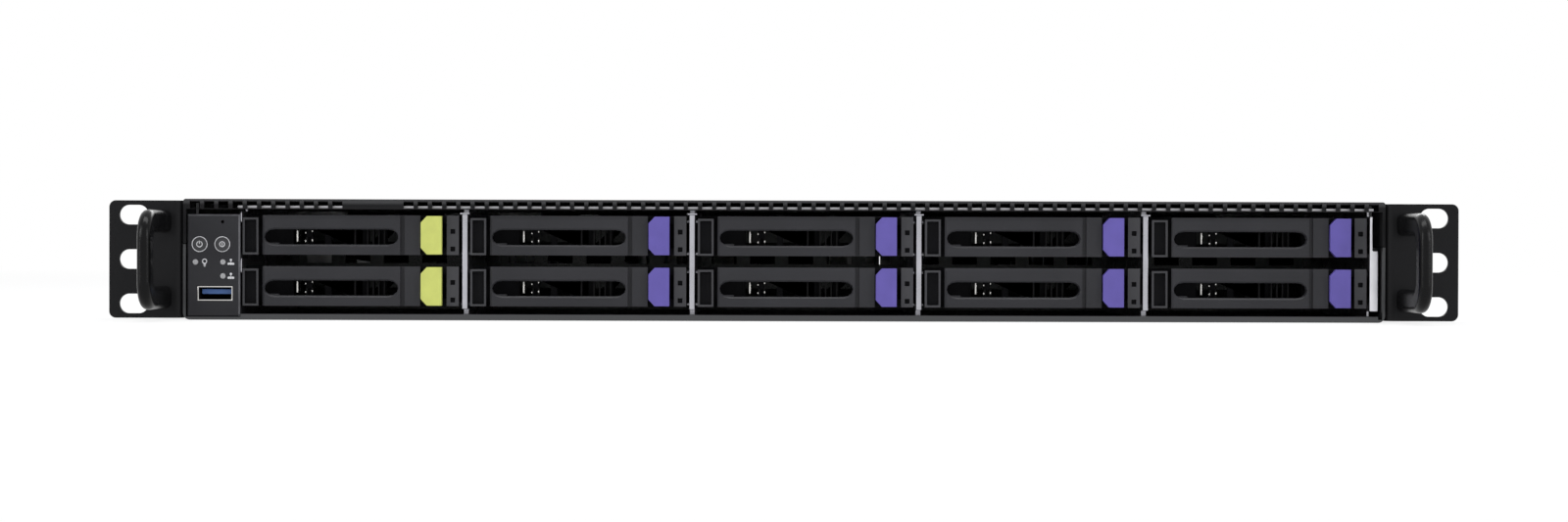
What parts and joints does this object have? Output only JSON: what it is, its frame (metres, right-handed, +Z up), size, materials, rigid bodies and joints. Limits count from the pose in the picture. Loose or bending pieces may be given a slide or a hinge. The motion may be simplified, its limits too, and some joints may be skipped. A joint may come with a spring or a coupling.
{
  "type": "1u rack server",
  "caption": "One-unit rack server with small drive trays on swing-out levers, ear handles, a control panel, cooling fans and pull-out power supplies.",
  "frame": {"origin": "middle of the footprint over handles and rear grips, on the underside", "axes": "+Z up, the front looks along -Y, +X to the right seen from the front"},
  "size_m": [0.4826, 0.756, 0.0432],
  "materials": {
    "plated_steel": "zinc-plated sheet, satin",
    "bright_zinc": "bright zinc-plated sheet",
    "black_steel": "fine-textured black powder coat",
    "handle_black": "semi-gloss black",
    "black_screw": "black oxide",
    "nickel": "nickel plated",
    "panel_plastic": "fine satin",
    "button_plastic": "satin",
    "light_pipe": "clear frosted, unlit",
    "tray_plastic": "fine spark texture",
    "lever_plastic": "satin dark grey",
    "latch_green": "satin yellow-green",
    "latch_violet": "satin blue-violet",
    "port_blue": "satin blue",
    "circuit_board": "solder-resist coated board",
    "memory_board": "solder-resist coated board",
    "fin_aluminium": "bare extruded"
  },
  "bodies": {
    "chassis": {"chassis_base": "plated_steel", "drive_cage": "bright_zinc", "front_cover": "black_steel", "ear_left": "black_steel", "ear_right": "black_steel", "handle_left": "handle_black", "handle_right": "handle_black", "bracket_screws": "black_screw", "control_panel": "panel_plastic", "indicator_lights": "light_pipe", "port_shell": "nickel", "port_tongue": "port_blue", "drive_backplane": "circuit_board", "fan_frames": "tray_plastic", "motherboard": "circuit_board", "processor_heatsinks": "fin_aluminium", "memory_modules": "memory_board", "rear_sockets": "nickel"},
    "top_cover": {"top_cover": "plated_steel", "cover_screw": "nickel"},
    "power_button": {"power_button": "button_plastic"},
    "service_button": {"service_button": "button_plastic"},
    "reset_button": {"reset_button": "tray_plastic"},
    "fan_rotor_1": {"fan_rotor_1": "tray_plastic"},
    "fan_rotor_2": {"fan_rotor_2": "tray_plastic"},
    "fan_rotor_3": {"fan_rotor_3": "tray_plastic"},
    "fan_rotor_4": {"fan_rotor_4": "tray_plastic"},
    "fan_rotor_5": {"fan_rotor_5": "tray_plastic"},
    "power_supply_1": {"power_supply_1": "plated_steel"},
    "power_supply_2": {"power_supply_2": "plated_steel"},
    "tray_1": {"tray_1": "tray_plastic"},
    "lever_1": {"lever_1": "lever_plastic"},
    "latch_1": {"latch_1": "latch_green"},
    "tray_2": {"tray_2": "tray_plastic"},
    "lever_2": {"lever_2": "lever_plastic"},
    "latch_2": {"latch_2": "latch_violet"},
    "tray_3": {"tray_3": "tray_plastic"},
    "lever_3": {"lever_3": "lever_plastic"},
    "latch_3": {"latch_3": "latch_violet"},
    "tray_4": {"tray_4": "tray_plastic"},
    "lever_4": {"lever_4": "lever_plastic"},
    "latch_4": {"latch_4": "latch_violet"},
    "tray_5": {"tray_5": "tray_plastic"},
    "lever_5": {"lever_5": "lever_plastic"},
    "latch_5": {"latch_5": "latch_violet"},
    "tray_6": {"tray_6": "tray_plastic"},
    "lever_6": {"lever_6": "lever_plastic"},
    "latch_6": {"latch_6": "latch_green"},
    "tray_7": {"tray_7": "tray_plastic"},
    "lever_7": {"lever_7": "lever_plastic"},
    "latch_7": {"latch_7": "latch_violet"},
    "tray_8": {"tray_8": "tray_plastic"},
    "lever_8": {"lever_8": "lever_plastic"},
    "latch_8": {"latch_8": "latch_violet"},
    "tray_9": {"tray_9": "tray_plastic"},
    "lever_9": {"lever_9": "lever_plastic"},
    "latch_9": {"latch_9": "latch_violet"},
    "tray_10": {"tray_10": "tray_plastic"},
    "lever_10": {"lever_10": "lever_plastic"},
    "latch_10": {"latch_10": "latch_violet"}
  },
  "joints": [
    {"name": "top_cover_slide", "type": "slide", "parent": "chassis", "child": "top_cover", "axis": [0, 1, 0], "range_m": [0, 0.015]},
    {"name": "power_button_press", "type": "slide", "parent": "chassis", "child": "power_button", "axis": [0, 1, 0], "range_m": [0, 0.0008], "stiffness_N_per_m": 1500},
    {"name": "service_button_press", "type": "slide", "parent": "chassis", "child": "service_button", "axis": [0, 1, 0], "range_m": [0, 0.0008], "stiffness_N_per_m": 1500},
    {"name": "reset_button_press", "type": "slide", "parent": "chassis", "child": "reset_button", "axis": [0, 1, 0], "range_m": [0, 0.0004], "stiffness_N_per_m": 2000},
    {"name": "fan_spin_1", "type": "hinge", "parent": "chassis", "child": "fan_rotor_1", "pos_m": [-0.164, -0.152, 0.021], "axis": [0, 1, 0], "continuous": true},
    {"name": "fan_spin_2", "type": "hinge", "parent": "chassis", "child": "fan_rotor_2", "pos_m": [-0.082, -0.152, 0.021], "axis": [0, 1, 0], "continuous": true},
    {"name": "fan_spin_3", "type": "hinge", "parent": "chassis", "child": "fan_rotor_3", "pos_m": [0, -0.152, 0.021], "axis": [0, 1, 0], "continuous": true},
    {"name": "fan_spin_4", "type": "hinge", "parent": "chassis", "child": "fan_rotor_4", "pos_m": [0.082, -0.152, 0.021], "axis": [0, 1, 0], "continuous": true},
    {"name": "fan_spin_5", "type": "hinge", "parent": "chassis", "child": "fan_rotor_5", "pos_m": [0.164, -0.152, 0.021], "axis": [0, 1, 0], "continuous": true},
    {"name": "power_supply_slide_1", "type": "slide", "parent": "chassis", "child": "power_supply_1", "axis": [0, 1, 0], "range_m": [0, 0.165]},
    {"name": "power_supply_slide_2", "type": "slide", "parent": "chassis", "child": "power_supply_2", "axis": [0, 1, 0], "range_m": [0, 0.165]},
    {"name": "tray_slide_1", "type": "slide", "parent": "chassis", "child": "tray_1", "axis": [0, -1, 0], "range_m": [0, 0.125]},
    {"name": "lever_swing_1", "type": "hinge", "parent": "tray_1", "child": "lever_1", "pos_m": [-0.1831, -0.3376, 0.0304], "axis": [0, 0, -1], "range_deg": [0, 50]},
    {"name": "latch_slide_1", "type": "slide", "parent": "tray_1", "child": "latch_1", "axis": [1, 0, 0], "range_m": [0, 0.0013], "stiffness_N_per_m": 500},
    {"name": "tray_slide_2", "type": "slide", "parent": "chassis", "child": "tray_2", "axis": [0, -1, 0], "range_m": [0, 0.125]},
    {"name": "lever_swing_2", "type": "hinge", "parent": "tray_2", "child": "lever_2", "pos_m": [-0.1017, -0.3376, 0.0304], "axis": [0, 0, -1], "range_deg": [0, 50]},
    {"name": "latch_slide_2", "type": "slide", "parent": "tray_2", "child": "latch_2", "axis": [1, 0, 0], "range_m": [0, 0.0013], "stiffness_N_per_m": 500},
    {"name": "tray_slide_3", "type": "slide", "parent": "chassis", "child": "tray_3", "axis": [0, -1, 0], "range_m": [0, 0.125]},
    {"name": "lever_swing_3", "type": "hinge", "parent": "tray_3", "child": "lever_3", "pos_m": [-0.0203, -0.3376, 0.0304], "axis": [0, 0, -1], "range_deg": [0, 50]},
    {"name": "latch_slide_3", "type": "slide", "parent": "tray_3", "child": "latch_3", "axis": [1, 0, 0], "range_m": [0, 0.0013], "stiffness_N_per_m": 500},
    {"name": "tray_slide_4", "type": "slide", "parent": "chassis", "child": "tray_4", "axis": [0, -1, 0], "range_m": [0, 0.125]},
    {"name": "lever_swing_4", "type": "hinge", "parent": "tray_4", "child": "lever_4", "pos_m": [0.0611, -0.3376, 0.0304], "axis": [0, 0, -1], "range_deg": [0, 50]},
    {"name": "latch_slide_4", "type": "slide", "parent": "tray_4", "child": "latch_4", "axis": [1, 0, 0], "range_m": [0, 0.0013], "stiffness_N_per_m": 500},
    {"name": "tray_slide_5", "type": "slide", "parent": "chassis", "child": "tray_5", "axis": [0, -1, 0], "range_m": [0, 0.125]},
    {"name": "lever_swing_5", "type": "hinge", "parent": "tray_5", "child": "lever_5", "pos_m": [0.1425, -0.3376, 0.0304], "axis": [0, 0, -1], "range_deg": [0, 50]},
    {"name": "latch_slide_5", "type": "slide", "parent": "tray_5", "child": "latch_5", "axis": [1, 0, 0], "range_m": [0, 0.0013], "stiffness_N_per_m": 500},
    {"name": "tray_slide_6", "type": "slide", "parent": "chassis", "child": "tray_6", "axis": [0, -1, 0], "range_m": [0, 0.125]},
    {"name": "lever_swing_6", "type": "hinge", "parent": "tray_6", "child": "lever_6", "pos_m": [-0.1831, -0.3376, 0.0121], "axis": [0, 0, -1], "range_deg": [0, 50]},
    {"name": "latch_slide_6", "type": "slide", "parent": "tray_6", "child": "latch_6", "axis": [1, 0, 0], "range_m": [0, 0.0013], "stiffness_N_per_m": 500},
    {"name": "tray_slide_7", "type": "slide", "parent": "chassis", "child": "tray_7", "axis": [0, -1, 0], "range_m": [0, 0.125]},
    {"name": "lever_swing_7", "type": "hinge", "parent": "tray_7", "child": "lever_7", "pos_m": [-0.1017, -0.3376, 0.0121], "axis": [0, 0, -1], "range_deg": [0, 50]},
    {"name": "latch_slide_7", "type": "slide", "parent": "tray_7", "child": "latch_7", "axis": [1, 0, 0], "range_m": [0, 0.0013], "stiffness_N_per_m": 500},
    {"name": "tray_slide_8", "type": "slide", "parent": "chassis", "child": "tray_8", "axis": [0, -1, 0], "range_m": [0, 0.125]},
    {"name": "lever_swing_8", "type": "hinge", "parent": "tray_8", "child": "lever_8", "pos_m": [-0.0203, -0.3376, 0.0121], "axis": [0, 0, -1], "range_deg": [0, 50]},
    {"name": "latch_slide_8", "type": "slide", "parent": "tray_8", "child": "latch_8", "axis": [1, 0, 0], "range_m": [0, 0.0013], "stiffness_N_per_m": 500},
    {"name": "tray_slide_9", "type": "slide", "parent": "chassis", "child": "tray_9", "axis": [0, -1, 0], "range_m": [0, 0.125]},
    {"name": "lever_swing_9", "type": "hinge", "parent": "tray_9", "child": "lever_9", "pos_m": [0.0611, -0.3376, 0.0121], "axis": [0, 0, -1], "range_deg": [0, 50]},
    {"name": "latch_slide_9", "type": "slide", "parent": "tray_9", "child": "latch_9", "axis": [1, 0, 0], "range_m": [0, 0.0013], "stiffness_N_per_m": 500},
    {"name": "tray_slide_10", "type": "slide", "parent": "chassis", "child": "tray_10", "axis": [0, -1, 0], "range_m": [0, 0.125]},
    {"name": "lever_swing_10", "type": "hinge", "parent": "tray_10", "child": "lever_10", "pos_m": [0.1425, -0.3376, 0.0121], "axis": [0, 0, -1], "range_deg": [0, 50]},
    {"name": "latch_slide_10", "type": "slide", "parent": "tray_10", "child": "latch_10", "axis": [1, 0, 0], "range_m": [0, 0.0013], "stiffness_N_per_m": 500}
  ]
}
